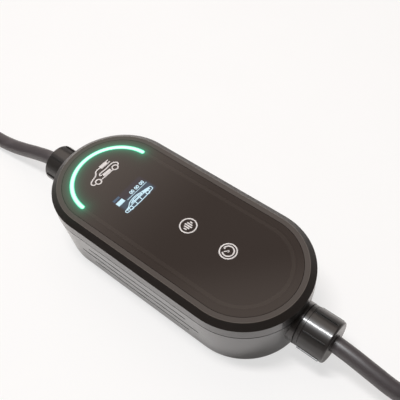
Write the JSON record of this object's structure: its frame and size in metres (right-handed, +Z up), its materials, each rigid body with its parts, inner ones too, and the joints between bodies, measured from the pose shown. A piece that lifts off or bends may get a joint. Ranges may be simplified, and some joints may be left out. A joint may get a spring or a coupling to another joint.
{
  "type": "portable ev charger",
  "caption": "Round-ended control box with a lit arc, display and touch keys, cable glands at both ends, a short mains lead with plug and a hanked vehicle lead with capped connector.",
  "frame": {"origin": "under the middle of the control box, on the surface that it lies on", "axes": "+X across the box, +Y along it towards the lit end and the supply lead, +Z up out of the face"},
  "size_m": [0.1135, 0.8763, 0.0906],
  "materials": {
    "case_plastic": "satin moulded black",
    "panel_acrylic": "polished smoked acrylic",
    "seal_rubber": "soft moulded",
    "bond_tape": "foam tape",
    "light_guide": "clear, lit green",
    "lamp": "moulded lens",
    "display_glass": "polished glass",
    "board": "solder mask",
    "contact_foam": "conductive foam",
    "part_black": "moulded",
    "part_grey": "moulded",
    "relay_blue": "moulded",
    "core_green": "coated core",
    "film_yellow": "boxed film",
    "disc_blue": "dipped disc",
    "terminal_green": "moulded",
    "core_brown": "insulated core",
    "core_blue": "insulated core",
    "screw_steel": "zinc plated",
    "gland_nylon": "semi-gloss black nylon",
    "cable_rubber": "matt extruded sheath",
    "tie_fabric": "woven hook and loop strap",
    "plug_plastic": "moulded satin black",
    "pin_nickel": "nickel plated",
    "clip_brass": "sprung brass",
    "connector_plastic": "textured moulded black",
    "cap_rubber": "soft moulded"
  },
  "bodies": {
    "root": {"lower_case": "case_plastic", "upper_cover": "case_plastic", "case_seal": "seal_rubber", "front_panel": "panel_acrylic", "panel_tape": "bond_tape", "light_guide": "light_guide", "indicator_leds": "lamp", "display_module": "display_glass", "display_board": "board", "touch_pads": "contact_foam", "buzzer": "part_black", "board_link": "part_grey", "main_board": "board", "relays": "relay_blue", "residual_current_sensor": "core_green", "power_module": "part_black", "capacitors": "film_yellow", "varistors": "disc_blue", "fuse": "part_grey", "controller_chip": "part_black", "supply_terminals": "terminal_green", "vehicle_terminals": "terminal_green", "supply_leads": "core_brown", "vehicle_leads": "core_blue", "case_screws": "screw_steel", "board_screws": "screw_steel", "supply_gland_body": "gland_nylon", "supply_gland_locknut": "gland_nylon", "supply_gland_seal": "seal_rubber", "supply_gland_nut": "gland_nylon", "vehicle_gland_body": "gland_nylon", "vehicle_gland_locknut": "gland_nylon", "vehicle_gland_seal": "seal_rubber", "vehicle_gland_nut": "gland_nylon", "supply_cable": "cable_rubber", "vehicle_cable": "cable_rubber", "vehicle_tail": "cable_rubber", "vehicle_hank": "cable_rubber", "hank_ties": "tie_fabric", "plug_body": "plug_plastic", "plug_boot": "plug_plastic", "plug_pins": "pin_nickel", "plug_earth_clips": "clip_brass", "connector_lower_shell": "connector_plastic", "connector_upper_shell": "connector_plastic", "connector_carrier": "connector_plastic", "connector_contacts": "pin_nickel", "connector_boot": "plug_plastic", "connector_cap": "cap_rubber", "connector_screws": "screw_steel"}
  },
  "joints": []
}
